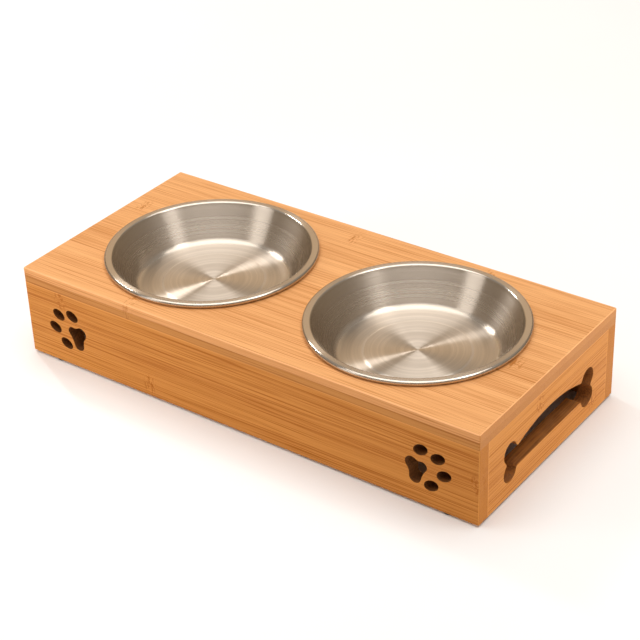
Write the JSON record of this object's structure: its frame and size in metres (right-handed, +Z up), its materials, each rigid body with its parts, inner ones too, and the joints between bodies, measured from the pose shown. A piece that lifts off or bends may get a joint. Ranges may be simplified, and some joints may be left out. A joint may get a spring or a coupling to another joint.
{
  "type": "raised pet feeder",
  "caption": "Raised pet feeder: open-bottomed bamboo box with paw cut-outs and bone-shaped carry handles, holding drop-in steel bowls by their rolled rims.",
  "frame": {"origin": "under the middle of the stand, on the surface that the feet rest on", "axes": "+X along the stand from its left end to its right end, +Y from the front board with the paws to the back board, +Z up"},
  "size_m": [0.39, 0.181, 0.0768],
  "materials": {
    "bamboo": "clear satin lacquer on laminated bamboo",
    "bowl_steel": "satin stainless steel, brushed in rings",
    "dowel_wood": "plain turned hardwood",
    "foot_rubber": "matte"
  },
  "bodies": {
    "stand": {"top_board": "bamboo", "front_board": "bamboo", "back_board": "bamboo", "left_end_board": "bamboo", "right_end_board": "bamboo", "front_left_corner_dowels": "dowel_wood", "front_right_corner_dowels": "dowel_wood", "back_left_corner_dowels": "dowel_wood", "back_right_corner_dowels": "dowel_wood", "top_front_dowels": "dowel_wood", "top_back_dowels": "dowel_wood", "top_left_dowels": "dowel_wood", "top_right_dowels": "dowel_wood", "front_left_foot": "foot_rubber", "front_right_foot": "foot_rubber", "back_left_foot": "foot_rubber", "back_right_foot": "foot_rubber"},
    "left_dish": {"left_bowl": "bowl_steel"},
    "right_dish": {"right_bowl": "bowl_steel"}
  },
  "joints": [
    {"name": "left_bowl_lift", "type": "slide", "parent": "stand", "child": "left_dish", "axis": [0, 0, 1], "range_m": [0, 0.06]},
    {"name": "right_bowl_lift", "type": "slide", "parent": "stand", "child": "right_dish", "axis": [0, 0, 1], "range_m": [0, 0.06]}
  ]
}
